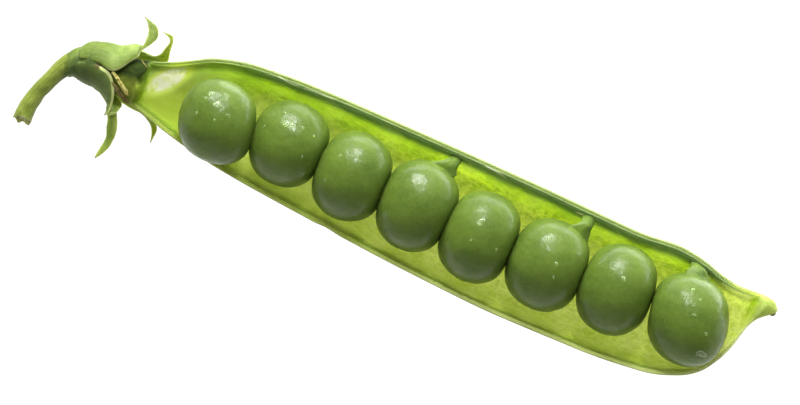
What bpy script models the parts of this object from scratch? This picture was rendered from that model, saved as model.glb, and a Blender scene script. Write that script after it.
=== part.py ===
"""An opened pea pod: one valve of the pod holding eight peas, with its seed stalks, calyx and stalk.

Frame: +X runs along the pod from the stalk to the beak, +Y points to the seam that carries the seeds, and
+Z points out of the open side. The origin is on the flat of the belly, which the pod lies on.
All sizes are in millimetres until new_object() turns them into metres.
"""

import math
from itertools import pairwise

import bmesh
import bpy
import numpy as np
from mathutils import Vector

MM = 0.001

# ---- driving dimensions, in millimetres ----
SEAM_Z = 5.8  # height of the two seams above the surface that the pod lies on
WALL = 0.9  # thickness of the valve's floor
NECK_X, BEAK_X = -41.0, 38.5  # ends of the valve: inside the calyx, and the tip of the beak
SEED_SEAM_Y = [
    (-41.0, 2.4), (-38.5, 3.1), (-35.6, 3.7), (-33.0, 4.7), (-28.6, 6.9), (-24.2, 7.75), (-17.6, 8.0),
    (-4.4, 7.75), (8.8, 7.35), (17.6, 6.95), (21.5, 6.8), (25.9, 7.1), (29.0, 6.65), (31.5, 5.9),
    (34.0, 5.5), (36.5, 5.6), (37.7, 5.45), (38.2, 5.1), (38.5, 4.7),
]
BACK_SEAM_Y = [
    (-41.0, -0.4), (-38.5, -1.1), (-35.2, -1.75), (-30.8, -3.1), (-24.2, -4.5), (-13.2, -5.8),
    (0.0, -7.1), (11.0, -7.75), (20.0, -7.8), (27.5, -7.3), (31.2, -6.2), (33.2, -4.9), (34.5, -3.1),
    (35.4, -1.2), (36.0, 1.2), (36.8, 2.8), (37.9, 3.75), (38.5, 4.3),
]
BELLY_DEPTH = [
    (-41.0, 1.4), (-38.5, 2.0), (-35.4, 2.8), (-31.5, 4.3), (-28.5, 5.2), (-24.0, 5.7), (-19.0, 5.95),
    (26.0, 5.95), (30.0, 5.7), (33.0, 4.9), (34.8, 3.6), (36.2, 2.2), (37.6, 1.2), (38.5, 0.4),
]
BULGE = 0.2  # how far each pea pushes the belly out
BULGE_REACH = 3.4  # half length of such a bulge
NECK_OPENS = (-36.0, -34.7)  # the cavity opens between these two stations
BEAK_CLOSES = (35.2, 37.2)  # and closes between these

# Each pea: place of its middle along and across the pod, and its radii along X, Y and Z.
PEAS = [
    ((-26.20, 0.28), (4.45, 4.50, 4.20)),
    ((-18.15, 1.05), (4.45, 4.80, 4.65)),
    ((-10.35, 0.39), (4.45, 5.00, 4.75)),
    ((-2.50, 0.11), (4.55, 5.15, 4.85)),
    ((5.15, -0.44), (4.50, 5.15, 4.85)),
    ((13.20, -0.44), (4.65, 5.15, 4.85)),
    ((21.40, -0.05), (4.55, 5.15, 4.80)),
    ((29.75, -0.17), (4.75, 5.00, 4.70)),
]
# Where each two neighbours press on each other along the pod, and how that face leans across it.
PRESSED = [(-22.05, -0.12), (-14.25, 0.06), (-6.50, 0.0), (1.40, 0.10), (8.98, 0.02), (17.38, 0.0), (25.40, -0.07)]
# A flat that the valve's rim presses into a pea: the way it faces, and its distance from the pea's middle.
RIM_PRESSES = {1: ((0.0, -0.8, -0.6), 3.95)}
PRESS_SHARPNESS = 14  # higher gives a flatter contact face with a tighter edge
PEA_CLEARANCE = 0.25  # between a pea and the valve that it rests in

# Seed stalks: number of the pea, root on the seed seam's ridge, foot by the pea, and the foot's two radii.
SEED_STALKS = [
    (4, (-0.35, 5.85, 6.0), (-0.75, 5.05, 6.2), (0.95, 0.35)),
    (6, (15.40, 5.50, 6.0), (15.15, 4.60, 6.2), (1.10, 0.40)),
    (8, (28.40, 5.30, 6.0), (28.70, 4.92, 6.2), (1.15, 0.40)),
]
SEED_STALK_RADIUS = 0.5

CUP_WALL = 0.4
CUP_AXIS = (1.1, 5.6)  # Y and Z of the middle of the cup's rim
# Calyx cup along its own bend: middle of each ring, then its outer radius.
CUP_RINGS = [
    ((-43.45, 0.55, 5.5), 1.55), ((-43.0, 0.75, 5.5), 1.95), ((-42.4, 0.95, 5.55), 2.25),
    ((-41.7, 1.1, 5.6), 2.42), ((-40.9, 1.1, 5.6), 2.5),
]
CUP_FLOOR = 2  # ring above which the cup is hollow
STALK_PATH = [
    (-43.8, 0.42, 5.45), (-44.3, 0.1, 5.4), (-44.95, -1.1, 5.25), (-45.75, -3.0, 4.9), (-46.35, -5.2, 4.5),
    (-46.6, -7.7, 4.1),
]
STALK_RADIUS = 1.03
STALK_FLARE = 0.42  # how much wider the stalk is where it meets the calyx

SEPAL_THICKNESS = 0.36
SEPAL_ROOT_X, SEPAL_ROOT_RADIUS = -40.5, 2.4  # where the sepals leave the rim of the cup
# Each sepal: its turn round the cup from +Z towards +Y in degrees, the rest of its midrib, the way its outer
# face looks from base to tip, its widths from base to tip, and how far its margins fold back.
SEPALS = {
    "sepal_1": (
        45,
        [(-39.3, 2.85, 7.85), (-38.0, 3.35, 8.0), (-36.95, 4.65, 7.75), (-36.45, 6.2, 7.3), (-36.9, 7.35, 7.1),
         (-38.0, 7.95, 7.2)],
        [(0.0, 0.7, 0.7), (0.0, 0.45, 0.9), (0.6, 0.1, 0.8), (0.5, 0.4, 0.75)],
        [3.6, 3.6, 2.9, 1.2, 1.0, 0.7, 0.12],
        0.35,
    ),
    "sepal_2": (
        122,
        [(-38.6, 3.75, 4.1), (-36.8, 4.3, 4.0), (-35.3, 5.0, 4.1), (-34.5, 6.1, 4.3), (-34.75, 7.0, 4.5),
         (-35.7, 7.1, 4.7)],
        [(0.0, 0.85, -0.53), (0.0, 0.7, -0.7), (0.5, 0.2, -0.8), (0.3, 0.3, -0.8)],
        [2.7, 2.7, 2.4, 1.7, 1.0, 0.6, 0.12],
        0.35,
    ),
    "sepal_3": (
        -42,
        [(-39.6, -0.7, 7.6), (-38.85, -1.25, 7.4), (-38.35, -2.1, 7.0), (-38.15, -2.95, 6.7), (-38.15, -3.75, 6.5)],
        [(0.0, -0.67, 0.74), (0.0, -0.5, 0.85), (0.0, -0.3, 0.95)],
        [3.2, 2.7, 1.9, 1.2, 0.7, 0.12],
        0.4,
    ),
    "sepal_4": (
        -110,
        [(-39.0, -1.75, 4.7), (-37.6, -2.35, 4.9), (-37.1, -3.3, 5.1), (-36.7, -4.7, 5.0), (-36.6, -6.1, 4.7),
         (-36.8, -7.4, 4.5), (-37.2, -8.6, 4.4)],
        [(0.0, -0.94, -0.34), (-0.4, -0.8, -0.3), (-0.8, 0.1, 0.6), (-0.6, 0.1, 0.8)],
        [2.3, 2.2, 1.8, 1.1, 1.15, 1.15, 0.8, 0.12],
        0.3,
    ),
    "sepal_5": (
        -172,
        [(-38.5, -0.1, 2.5), (-36.3, -1.2, 1.8), (-34.4, -2.0, 1.6), (-33.3, -2.75, 2.0), (-32.7, -3.8, 2.6),
         (-32.5, -4.75, 3.0)],
        [(0.0, -0.14, -0.99), (0.0, -0.2, -0.95), (0.3, -0.4, -0.85)],
        [2.5, 2.4, 2.0, 1.4, 0.9, 0.55, 0.12],
        0.3,
    ),
}

# Dried stamens on the pod's base: path and radius.
STAMENS = {
    "dried_stamen_1": ([(-38.7, 0.85, 8.2), (-37.9, 0.35, 8.3), (-37.0, -0.35, 8.15), (-36.4, -0.8, 7.9)], 0.22),
    "dried_stamen_2": ([(-38.5, -0.15, 7.95), (-37.8, -0.65, 7.75), (-36.9, -1.2, 7.3), (-36.1, -1.6, 6.8)], 0.2),
    "dried_stamen_3": ([(-36.5, 3.3, 7.4), (-36.1, 3.05, 7.6), (-35.6, 2.7, 7.7)], 0.1),
}
STYLE_PATH = [(38.42, 3.98, 5.7), (38.3, 3.84, 5.7), (38.1, 3.62, 5.7)]
STYLE_RADIUS = 0.17

# Base colours (linear RGB) and roughness; nothing here is metal.
COLOURS = {
    "pod_flesh": ((0.36, 0.56, 0.05), 0.45),
    "pea_skin": ((0.13, 0.24, 0.04), 0.35),
    "seed_stalk_flesh": ((0.28, 0.45, 0.10), 0.40),
    "sepal_leaf": ((0.26, 0.40, 0.09), 0.55),
    "stalk_skin": ((0.30, 0.42, 0.07), 0.50),
    "dried_tissue": ((0.30, 0.22, 0.07), 0.80),
}


# ---- curves and meshes ----
def profile(stations):
    """A smooth curve through (x, value) stations that doesn't overshoot them."""
    xs, ys = (np.array(column, float) for column in zip(*stations))
    secants = np.diff(ys) / np.diff(xs)
    slopes = np.zeros_like(ys)
    slopes[0], slopes[-1] = secants[0], secants[-1]
    for i, (a, b) in enumerate(pairwise(secants), start=1):
        slopes[i] = 0.0 if a * b <= 0 else 2 * a * b / (a + b)

    def value(x):
        i = int(np.clip(np.searchsorted(xs, x) - 1, 0, len(xs) - 2))
        span = xs[i + 1] - xs[i]
        t = (min(max(x, xs[0]), xs[-1]) - xs[i]) / span
        start = (1 + 2 * t) * (1 - t) ** 2 * ys[i] + t * (1 - t) ** 2 * span * slopes[i]
        end = t * t * (3 - 2 * t) * ys[i + 1] + t * t * (t - 1) * span * slopes[i + 1]
        return float(start + end)

    return value


def along(points, count):
    """count points on a smooth curve (Catmull-Rom) through the given ones."""
    knots = [Vector(p) for p in points]
    padded = [2 * knots[0] - knots[1], *knots, 2 * knots[-1] - knots[-2]]
    found = []
    for step in range(count):
        place = step / (count - 1) * (len(knots) - 1)
        i = min(int(place), len(knots) - 2)
        t = place - i
        a, b, c, d = padded[i:i + 4]
        found.append(0.5 * (2 * b + (c - a) * t + (2 * a - 5 * b + 4 * c - d) * t * t + (3 * b - a - 3 * c + d) * t**3))
    return found


def tangents(points):
    ends = [points[0], *points, points[-1]]
    return [(after - before).normalized() for before, after in zip(ends, ends[2:])]


def smoothstep(low, high, x):
    t = min(max((x - low) / (high - low), 0.0), 1.0)
    return t * t * (3 - 2 * t)


def power(value, exponent):
    """value to the exponent, keeping its sign."""
    return math.copysign(abs(value) ** exponent, value)


def material(name):
    found = bpy.data.materials.get(name)
    if found:
        return found
    colour, roughness = COLOURS[name]
    made = bpy.data.materials.new(name)
    made.use_nodes = True
    shader = made.node_tree.nodes["Principled BSDF"]
    shader.inputs["Base Color"].default_value = (*colour, 1.0)
    shader.inputs["Roughness"].default_value = roughness
    shader.inputs["Metallic"].default_value = 0.0
    return made


def new_object(name, points, faces, slot):
    """A smooth-shaded object in metres from points in millimetres, with its faces turned outwards."""
    mesh = bpy.data.meshes.new(name)
    mesh.from_pydata([Vector(p) * MM for p in points], [], faces)
    body = bmesh.new()
    body.from_mesh(mesh)
    bmesh.ops.recalc_face_normals(body, faces=body.faces)
    body.to_mesh(mesh)
    body.free()
    mesh.shade_smooth()
    mesh.materials.append(material(slot))
    made = bpy.data.objects.new(name, mesh)
    bpy.context.scene.collection.objects.link(made)
    return made


def loft(name, rings, slot):
    """A closed solid through rings of equally many points, with a fan to the middle of each end ring."""
    count = len(rings[0])
    points = [p for ring in rings for p in ring]
    faces = []
    for r in range(len(rings) - 1):
        for i in range(count):
            j = (i + 1) % count
            faces.append((r * count + i, r * count + j, (r + 1) * count + j, (r + 1) * count + i))
    for first in (0, (len(rings) - 1) * count):
        middle = len(points)
        points.append(sum((Vector(p) for p in points[first:first + count]), Vector()) / count)
        faces += [(middle, first + i, first + (i + 1) % count) for i in range(count)]
    return new_object(name, points, faces, slot)


def ring(middle, direction, radii, count, up=(0, 0, 1)):
    """An ellipse of points round middle, across direction; radii are sideways and upwards."""
    side = direction.cross(Vector(up)).normalized()
    top = side.cross(direction).normalized()
    turns = [2 * math.pi * i / count for i in range(count)]
    return [Vector(middle) + side * (radii[0] * math.cos(t)) + top * (radii[1] * math.sin(t)) for t in turns]


def tube(name, path, radii, slot, sides):
    """A round solid along a path, with a radius for each point."""
    rings = [ring(p, d, (r, r), sides) for p, d, r in zip(path, tangents(path), radii)]
    return loft(name, rings, slot)


# ---- the valve ----
seed_seam, back_seam, belly_depth = (profile(s) for s in (SEED_SEAM_Y, BACK_SEAM_Y, BELLY_DEPTH))


def bulge(x):
    """How far the peas push the belly out at x."""
    return BULGE * max(math.exp(-(((x - middle[0]) / BULGE_REACH) ** 4)) for middle, _ in PEAS)


def openness(x):
    """1 where the valve is an open trough, and 0 where it is solid: in its neck and at its tip."""
    return smoothstep(*NECK_OPENS, x) * (1 - smoothstep(*BEAK_CLOSES, x))


OUTER_STEPS, INNER_STEPS = 16, 12
OUTER_ROUNDNESS, INNER_ROUNDNESS = 2 / 2.5, 2 / 2.5  # exponents of the section's flattened half ellipses
# The rims' profiles, as distance in from the outer edge and height above the seam.
BACK_RIM = [(0.08, 0.12), (0.24, 0.16), (0.40, 0.06), (0.48, -0.25)]
SEED_RIM = [(1.55, -1.60), (1.50, -1.05), (1.05, -0.30), (0.80, 0.12), (0.62, 0.02), (0.38, 0.22), (0.12, 0.16)]
FULL_RIM_WIDTH = 7.0  # where the valve is narrower than this, its rims are narrower in proportion


def trough(x):
    """Middle and half width of the cavity at x, its depth, and the scale of the rims."""
    top, bottom = seed_seam(x), back_seam(x)
    scale = min(1.0, (top - bottom) / FULL_RIM_WIDTH)
    left, right = bottom + BACK_RIM[-1][0] * scale, top - SEED_RIM[0][0] * scale
    depth = max(belly_depth(x) + bulge(x) - WALL, 0.35 * belly_depth(x))
    return (left + right) / 2, (right - left) / 2, depth, scale


def section(x):
    """The valve's outline at x: round the belly from the seed seam, over the back rim, and back inside."""
    top, bottom = seed_seam(x), back_seam(x)
    middle, half = (top + bottom) / 2, (top - bottom) / 2
    depth = belly_depth(x)
    outside = []
    for step in range(OUTER_STEPS + 1):
        turn = math.pi * step / OUTER_STEPS
        drop = (depth + bulge(x)) * power(math.sin(turn), OUTER_ROUNDNESS)
        outside.append((x, middle + half * power(math.cos(turn), OUTER_ROUNDNESS), max(SEAM_Z - drop, 0.0)))
    inner_middle, inner_half, inner_depth, scale = trough(x)
    lining = [(bottom + inward * scale, SEAM_Z + rise * scale) for inward, rise in BACK_RIM]
    for step in range(1, INNER_STEPS):
        turn = math.pi * (1 - step / INNER_STEPS)
        drop = inner_depth * power(math.sin(turn), INNER_ROUNDNESS)
        start = smoothstep(0.0, 0.4, step / INNER_STEPS) * BACK_RIM[-1][1]
        ridge_drop = smoothstep(0.75, 1.0, step / INNER_STEPS) * SEED_RIM[0][1] * scale
        y = inner_middle + inner_half * power(math.cos(turn), INNER_ROUNDNESS)
        lining.append((y, SEAM_Z - max(drop, -ridge_drop, -start * scale)))
    lining += [(top - inward * scale, SEAM_Z + rise * scale) for inward, rise in SEED_RIM]
    opened = openness(x)
    inside = []
    for i, (y, z) in enumerate(lining, start=1):
        turn = math.pi * (1 - i / (len(lining) + 1))
        closed_y = middle + half * math.cos(turn)
        closed_z = SEAM_Z + depth * math.sin(turn)
        inside.append((x, closed_y + (y - closed_y) * opened, closed_z + (z - closed_z) * opened))
    return outside + inside


def make_valve():
    neck = np.linspace(NECK_X, NECK_OPENS[1], 11)
    body = np.linspace(NECK_OPENS[1], 29.0, 41)
    beak = np.linspace(29.0, BEAK_X, 17)
    stations = [float(x) for x in np.concatenate([neck[:-1], body[:-1], beak])]
    return loft("pod_valve", [section(x) for x in stations], "pod_flesh")


# ---- the peas ----
def pea_surface(number, direction):
    """The point of a pea, seen from its middle, in a unit direction."""
    _, radii = PEAS[number - 1]
    pull = sum((d / r) ** 2 for d, r in zip(direction, radii)) ** (PRESS_SHARPNESS / 2)
    for side, face in ((-1, number - 2), (1, number - 1)):
        if 0 <= face < len(PRESSED):
            place, lean = PRESSED[face]
            normal = Vector((side, -side * lean, 0)).normalized()
            x, y = PEAS[number - 1][0]
            distance = abs(normal.x * (place + lean * y - x))
            pull += max(0.0, normal.dot(direction) / distance) ** PRESS_SHARPNESS
    if number in RIM_PRESSES:
        normal, distance = RIM_PRESSES[number]
        pull += max(0.0, Vector(normal).dot(direction) / distance) ** PRESS_SHARPNESS
    return direction * pull ** (-1 / PRESS_SHARPNESS)


def lining_height(x, y):
    """Height of the valve's inner surface, or of its rim, at a place."""
    middle, half, depth, _ = trough(x)
    across = min(abs(y - middle) / half, 1.0)
    drop = (1 - across ** (2 / INNER_ROUNDNESS)) ** (INNER_ROUNDNESS / 2)
    return SEAM_Z - depth * drop


def resting_height(number, points):
    """How high a pea's middle is when it rests in the valve with its clearance."""
    (x, y), _ = PEAS[number - 1]
    lower = [p for p in points if p.z < 0]
    return max(lining_height(x + p.x, y + p.y) - p.z for p in lower) + PEA_CLEARANCE


def make_pea(number, around=22, rows=13):
    shape = []
    for row in range(1, rows):
        tilt = math.pi * row / rows
        for i in range(around):
            turn = 2 * math.pi * i / around
            shape.append(Vector((-math.cos(tilt), math.sin(tilt) * math.cos(turn), math.sin(tilt) * math.sin(turn))))
    surface = [pea_surface(number, d) for d in [*shape, Vector((-1, 0, 0)), Vector((1, 0, 0))]]
    (x, y), _ = PEAS[number - 1]
    middle = Vector((x, y, resting_height(number, surface)))
    faces = []
    for row in range(rows - 2):
        for i in range(around):
            j = (i + 1) % around
            faces.append((row * around + i, row * around + j, (row + 1) * around + j, (row + 1) * around + i))
    left, right, last = len(shape), len(shape) + 1, (rows - 2) * around
    faces += [(left, (i + 1) % around, i) for i in range(around)]
    faces += [(right, last + i, last + (i + 1) % around) for i in range(around)]
    return new_object(f"pea_{number}", [middle + p for p in surface], faces, "pea_skin")


# ---- seed stalks, calyx and stalk ----
def make_seed_stalk(number, root, foot, foot_radii):
    """A short stalk from the seed seam's ridge that widens to a flat foot by the pea."""
    path = along([root, (Vector(root) + Vector(foot)) / 2 + Vector((0.1, 0, 0.15)), foot], 6)
    rings = []
    for i, (p, d) in enumerate(zip(path, tangents(path))):
        share = i / (len(path) - 1)
        waist = SEED_STALK_RADIUS * (1 - 0.25 * math.sin(math.pi * share))
        wide, thick = (waist + (r - SEED_STALK_RADIUS) * share**1.5 for r in foot_radii)
        rings.append(ring(p, d, (wide, thick), 10))
    return loft(f"seed_stalk_{number}", rings, "seed_stalk_flesh")


def make_cup():
    """The calyx's fused base: a thin cup that the pod's neck stands in."""
    middles = [Vector(middle) for middle, _ in CUP_RINGS]
    directions = tangents(middles)
    outside = [ring(p, d, (r, r), 20) for (p, d), (_, r) in zip(zip(middles, directions), CUP_RINGS)]
    inside = []
    for i in range(len(CUP_RINGS) - 1, CUP_FLOOR - 1, -1):
        r = CUP_RINGS[i][1] - CUP_WALL
        inside.append(ring(middles[i], directions[i], (r, r), 20))
    return loft("calyx_cup", outside + inside, "sepal_leaf")


def make_sepal(name, turn, midrib, faces_out, widths, fold, count=13, across=6):
    """A leaf-like lobe of the calyx: thin, widest near its base, folded along its midrib and pointed."""
    across_cup, up_cup = math.sin(math.radians(turn)), math.cos(math.radians(turn))
    root = (SEPAL_ROOT_X, CUP_AXIS[0] + SEPAL_ROOT_RADIUS * across_cup, CUP_AXIS[1] + SEPAL_ROOT_RADIUS * up_cup)
    spine = along([root, *midrib], count)
    looks = along(faces_out, count)
    shares = [i / (count - 1) for i in range(count)]
    width_at = profile([(i / (len(widths) - 1), w) for i, w in enumerate(widths)])
    rings = []
    for p, d, look, share in zip(spine, tangents(spine), looks, shares):
        side = d.cross(look).normalized()
        out = side.cross(d).normalized()
        half = width_at(share) / 2
        thick = min(SEPAL_THICKNESS, half * 1.2) / 2

        def at(v, face):
            edge = 1 - 0.6 * abs(v) ** 2
            return p + side * (v * half) - out * (fold * half * v * v) + out * (face * thick * edge)

        upper = [at(2 * i / across - 1, 1) for i in range(across + 1)]
        lower = [at(1 - 2 * i / across, -1) for i in range(across + 1)]
        rings.append(upper + lower)
    return loft(name, rings, "sepal_leaf")


def make_stalk():
    path = along(STALK_PATH, 13)
    radii = [STALK_RADIUS * (1 + STALK_FLARE * (1 - smoothstep(0, 0.3, i / 12))) for i in range(13)]
    return tube("stalk", path, radii, "stalk_skin", 14)


def make_dried_parts():
    for name, (points, radius) in STAMENS.items():
        path = along(points, 6)
        taper = [radius * (1 - 0.45 * i / 5) for i in range(6)]
        tube(name, path, taper, "dried_tissue", 8)
    path = along(STYLE_PATH, 4)
    tube("style_tip", path, [STYLE_RADIUS * share for share in (0.8, 1.0, 1.0, 0.7)], "dried_tissue", 8)


def main():
    for old in list(bpy.data.objects):
        bpy.data.objects.remove(old)
    make_valve()
    for number in range(1, len(PEAS) + 1):
        make_pea(number)
    for stalk in SEED_STALKS:
        make_seed_stalk(*stalk)
    make_cup()
    for name, sizes in SEPALS.items():
        make_sepal(name, *sizes)
    make_stalk()
    make_dried_parts()


main()
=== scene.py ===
"""The looks of an opened pea pod: a translucent valve, peas, seed stalks, calyx, stalk and drops of water.

All sizes are in millimetres until shape() turns them into metres. The axes are the frame's: +X from the stalk
to the beak, +Y towards the seam that carries the seeds, and +Z up out of the open side.
"""

import math

import bmesh
import bpy
import numpy as np
from mathutils import Matrix, Vector, noise
from mathutils.bvhtree import BVHTree


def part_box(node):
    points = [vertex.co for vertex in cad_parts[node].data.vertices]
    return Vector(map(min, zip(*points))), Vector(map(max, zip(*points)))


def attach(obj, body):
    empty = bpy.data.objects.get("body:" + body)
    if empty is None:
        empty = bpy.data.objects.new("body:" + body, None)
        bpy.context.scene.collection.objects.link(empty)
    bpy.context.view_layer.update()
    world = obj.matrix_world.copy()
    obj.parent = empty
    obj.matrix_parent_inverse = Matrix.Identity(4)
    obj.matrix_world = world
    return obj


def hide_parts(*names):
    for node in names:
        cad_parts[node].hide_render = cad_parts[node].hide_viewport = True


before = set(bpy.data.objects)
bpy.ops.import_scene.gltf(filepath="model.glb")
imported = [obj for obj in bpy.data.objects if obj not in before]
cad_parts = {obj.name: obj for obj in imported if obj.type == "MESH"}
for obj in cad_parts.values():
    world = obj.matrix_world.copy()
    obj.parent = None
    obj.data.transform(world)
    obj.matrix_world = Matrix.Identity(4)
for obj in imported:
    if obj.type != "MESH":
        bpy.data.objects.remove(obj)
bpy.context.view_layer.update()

MM = 0.001
PEA_COUNT = 8


# ---- small tools ----
def smoothstep(low, high, x):
    t = np.clip((np.asarray(x, float) - low) / (high - low), 0, 1)
    return t * t * (3 - 2 * t)


def power(value, exponent):
    """value to the exponent, keeping its sign."""
    return np.sign(value) * np.abs(value) ** exponent


def mix(a, b, share):
    return a + (b - a) * share


def curve(xs, ys):
    """A smooth curve through points, as a function of x; ys may hold several columns."""
    xs, ys = np.asarray(xs, float), np.asarray(ys, float)
    slopes = np.gradient(ys, xs, axis=0)

    def at(x):
        x = np.clip(np.asarray(x, float), xs[0], xs[-1])
        i = np.clip(np.searchsorted(xs, x) - 1, 0, len(xs) - 2)
        span = xs[i + 1] - xs[i]
        t = (x - xs[i]) / span
        if ys.ndim > 1:
            t, span = t[..., None], span[..., None]
        start = (1 + 2 * t) * (1 - t) ** 2 * ys[i] + t * (1 - t) ** 2 * span * slopes[i]
        end = t * t * (3 - 2 * t) * ys[i + 1] + t * t * (t - 1) * span * slopes[i + 1]
        return start + end

    return at


def rough(points, scale, octaves=3, seed=0):
    """Smooth noise of about -1 to 1 at each point, whose features are about scale mm apart."""
    shift = Vector((seed * 17.3, seed * 5.1, seed * 9.7))
    found = [noise.fractal(Vector(p) / scale + shift, 1, 2, octaves) for p in points.reshape(-1, 3)]
    return np.array(found).reshape(points.shape[:-1])


def grid_faces(rows, columns, wrap=True):
    """Quads of a grid of points, row by row; wrap closes each row on itself."""
    r, c = np.meshgrid(np.arange(rows - 1), np.arange(columns if wrap else columns - 1), indexing="ij")
    d = (c + 1) % columns
    here, above = r * columns, (r + 1) * columns
    return np.stack([here + c, here + d, above + d, above + c], -1).reshape(-1, 4)


def shape(name, points, quads, material, replaced=(), caps=(), marks=None):
    """A piece from points in mm, quads, caps (lists of point numbers) and marks kept at each point."""
    mesh = bpy.data.meshes.new(name)
    faces = [*np.asarray(quads).tolist(), *caps]
    mesh.from_pydata((np.asarray(points).reshape(-1, 3) * MM).tolist(), [], faces)
    for mark, values in (marks or {}).items():
        layer = mesh.attributes.new(mark, "FLOAT", "POINT")
        layer.data.foreach_set("value", np.asarray(values, np.float32).ravel())
    solid = bmesh.new()
    solid.from_mesh(mesh)
    bmesh.ops.recalc_face_normals(solid, faces=solid.faces)
    solid.to_mesh(mesh)
    solid.free()
    mesh.shade_smooth()
    mesh.materials.append(material)
    piece = bpy.data.objects.new(name, mesh)
    bpy.context.scene.collection.objects.link(piece)
    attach(piece, "root")
    if replaced:
        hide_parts(*replaced)
    return piece


def around(sides):
    """Even angles round a full turn."""
    return np.linspace(0, 2 * math.pi, sides, endpoint=False)


def unit(v):
    return v / np.linalg.norm(v, axis=-1, keepdims=True)


def through(points, count):
    """count points of a smooth curve that passes the given ones at even steps."""
    return curve(np.arange(len(points)), points)(np.linspace(0, len(points) - 1, count))


def sweep(path, reference, wide, high, sides):
    """Rings of points round a path: wide across the reference direction and high along it, both in mm."""
    onward = unit(np.gradient(path, axis=0))
    up = unit(np.array(reference) - (onward @ np.array(reference))[:, None] * onward)
    side = np.cross(onward, up)
    turn = around(sides)
    wide, high = (np.asarray(size, float) * np.ones((len(path), sides)) for size in (wide, high))
    return (path[:, None] + (wide * np.cos(turn))[..., None] * side[:, None]
            + (high * np.sin(turn))[..., None] * up[:, None])


def ends(rows, columns):
    """The two faces that close a sleeve of rows rings."""
    return [list(range(columns)), [(rows - 1) * columns + i for i in range(columns)]]


def sleeve(name, points, material, node, marks):
    """The piece that stands for a CAD node, from rings of points, closed at both ends."""
    rows, columns = points.shape[:2]
    faces = grid_faces(rows, columns)
    return shape(name, points, faces, material, [node], caps=ends(rows, columns), marks=marks)


# ---- materials ----
def fill_ramp(node, stops):
    """Gives a colour ramp its stops: (place, Blender's own colour)."""
    elements = node.color_ramp.elements
    while len(elements) < len(stops):
        elements.new(1)
    for element, (place, colour) in zip(elements, stops):
        element.position, element.color = place, colour


class Nodes:
    """Builds the node tree of a new material, or of another owner, in few lines."""

    def __init__(self, name, owner=None):
        self.owner = owner or bpy.data.materials.new(name)
        self.owner.use_nodes = True
        self.tree = self.owner.node_tree

    def add(self, kind, links=None, **settings):
        node = self.tree.nodes.new(kind)
        for key, value in settings.items():
            setattr(node, key, value)
        for socket, value in (links or {}).items():
            self.feed(node, socket, value)
        return node

    def feed(self, node, socket, value):
        if isinstance(value, bpy.types.NodeSocket):
            self.tree.links.new(value, node.inputs[socket])
        else:
            node.inputs[socket].default_value = value

    def mark(self, name):
        return self.add("ShaderNodeAttribute", attribute_name=name).outputs["Fac"]

    def place(self):
        return self.add("ShaderNodeNewGeometry").outputs["Position"]

    def stretched(self, scale):
        """The place in the model in mm, with each axis scaled."""
        lengths = np.broadcast_to(scale, 3) / MM
        return self.add("ShaderNodeMapping", {"Vector": self.place(), "Scale": lengths}).outputs["Vector"]

    def noise(self, scale, detail=3, roughness=0.55, distortion=0):
        links = {"Vector": self.stretched(scale), "Scale": 1, "Detail": detail, "Roughness": roughness,
                 "Distortion": distortion}
        return self.add("ShaderNodeTexNoise", links).outputs["Fac"]

    def cells(self, scale, feature="DISTANCE_TO_EDGE", warp=0):
        """Distance from the edges of cells that are 1 / scale mm apart."""
        vector = self.stretched(scale)
        if warp:
            swirl = self.add(
                "ShaderNodeTexNoise", {"Vector": vector, "Scale": 0.7, "Detail": 2}).outputs["Color"]
            moved = self.add("ShaderNodeVectorMath", {0: swirl, 1: (0.5, 0.5, 0.5)}, operation="SUBTRACT")
            scaled = self.add(
                "ShaderNodeVectorMath", {0: moved.outputs[0], 1: (warp,) * 3}, operation="MULTIPLY")
            vector = self.add("ShaderNodeVectorMath", {0: vector, 1: scaled.outputs[0]}).outputs[0]
        links = {"Vector": vector, "Scale": 1}
        return self.add("ShaderNodeTexVoronoi", links, feature=feature).outputs["Distance"]

    def math(self, operation, a, b=0):
        return self.add("ShaderNodeMath", {0: a, 1: b}, operation=operation).outputs[0]

    def times(self, a, b):
        return self.math("MULTIPLY", a, b)

    def plus(self, a, b):
        return self.math("ADD", a, b)

    def minus(self, a, b):
        return self.math("SUBTRACT", a, b)

    def span(self, value, low, high, to_low=0, to_high=1):
        links = {"Value": value, "From Min": low, "From Max": high, "To Min": to_low, "To Max": to_high}
        return self.add("ShaderNodeMapRange", links, interpolation_type="SMOOTHSTEP").outputs["Result"]

    def blend(self, share, a, b):
        """From a to b by share; each is a socket, a grey, or red, green and blue on a screen."""
        node = self.add("ShaderNodeMix", {0: share}, data_type="RGBA")
        for number, value in ((6, a), (7, b)):
            if isinstance(value, tuple):
                value = linear(*value)
            elif isinstance(value, (int, float)):
                value = (value, value, value, 1)
            self.feed(node, number, value)
        return node.outputs[2]

    def ramp(self, value, *stops):
        """A colour by value: stops are (place, colour)."""
        return self.fading_ramp(value, *((place, colour, 1) for place, colour in stops))[0]

    def fading_ramp(self, value, *stops):
        """A colour and how much of it there is, by value: stops are (place, colour, share)."""
        node = self.add("ShaderNodeValToRGB", {"Fac": value})
        fill_ramp(node, [(place, (*linear(*colour)[:3], share)) for place, colour, share in stops])
        return node.outputs["Color"], node.outputs["Alpha"]

    def bump(self, height, strength, distance, below=None):
        links = {"Height": height, "Strength": strength, "Distance": distance * MM}
        if below is not None:
            links["Normal"] = below
        return self.add("ShaderNodeBump", links).outputs["Normal"]

    def finish(self, shader="Principled BSDF", **sockets):
        for name, value in sockets.items():
            self.feed(self.tree.nodes[shader], name.replace("_", " "), value)
        return self.owner


def linear(*screen):
    """Blender's own colour, for red, green and blue as they look on a screen, 0 to 255."""
    return (*(c / 12.92 if c <= 0.04045 else ((c + 0.055) / 1.055) ** 2.4 for c in np.array(screen) / 255), 1)


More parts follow.
